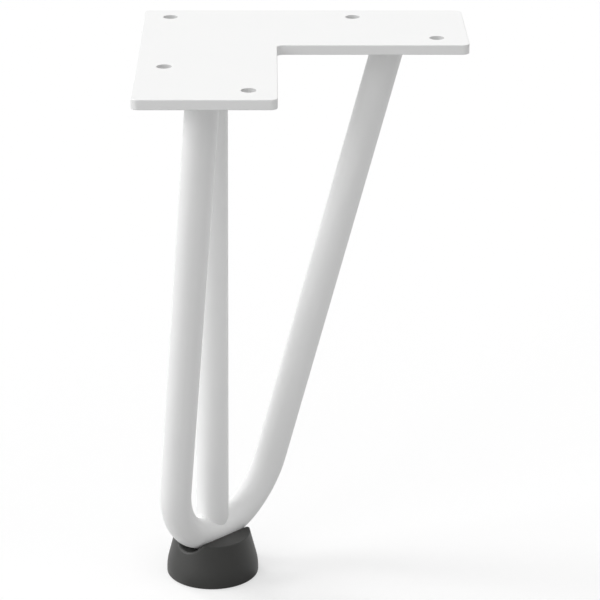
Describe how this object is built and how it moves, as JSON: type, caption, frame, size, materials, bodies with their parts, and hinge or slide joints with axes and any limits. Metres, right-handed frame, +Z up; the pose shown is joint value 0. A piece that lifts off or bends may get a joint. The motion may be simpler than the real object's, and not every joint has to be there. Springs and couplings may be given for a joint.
{
  "type": "hairpin table leg",
  "caption": "Hairpin table leg: an L-shaped screw-on plate carries a bent rod and a straight rod that meet above a conical moulded foot.",
  "frame": {"origin": "on the plate's top face, which lies against the underside of the table, straight above the middle of the bend", "axes": "+Z up, towards the table top; +X along the plate's side arm; -Y along its front arm; the plate's outer corner is at -X +Y"},
  "size_m": [0.12, 0.12, 0.2238],
  "materials": {
    "powder_coat": "white powder coat on steel, satin, with a very fine even texture",
    "foot_moulding": "dark grey moulded plastic, satin"
  },
  "bodies": {
    "root": {"mounting_plate": "powder_coat", "hairpin_rod": "powder_coat", "centre_rod": "powder_coat", "front_leg_weld": "powder_coat", "side_leg_weld": "powder_coat", "centre_rod_weld": "powder_coat", "bend_weld": "powder_coat", "foot_cap": "foot_moulding"}
  },
  "joints": []
}
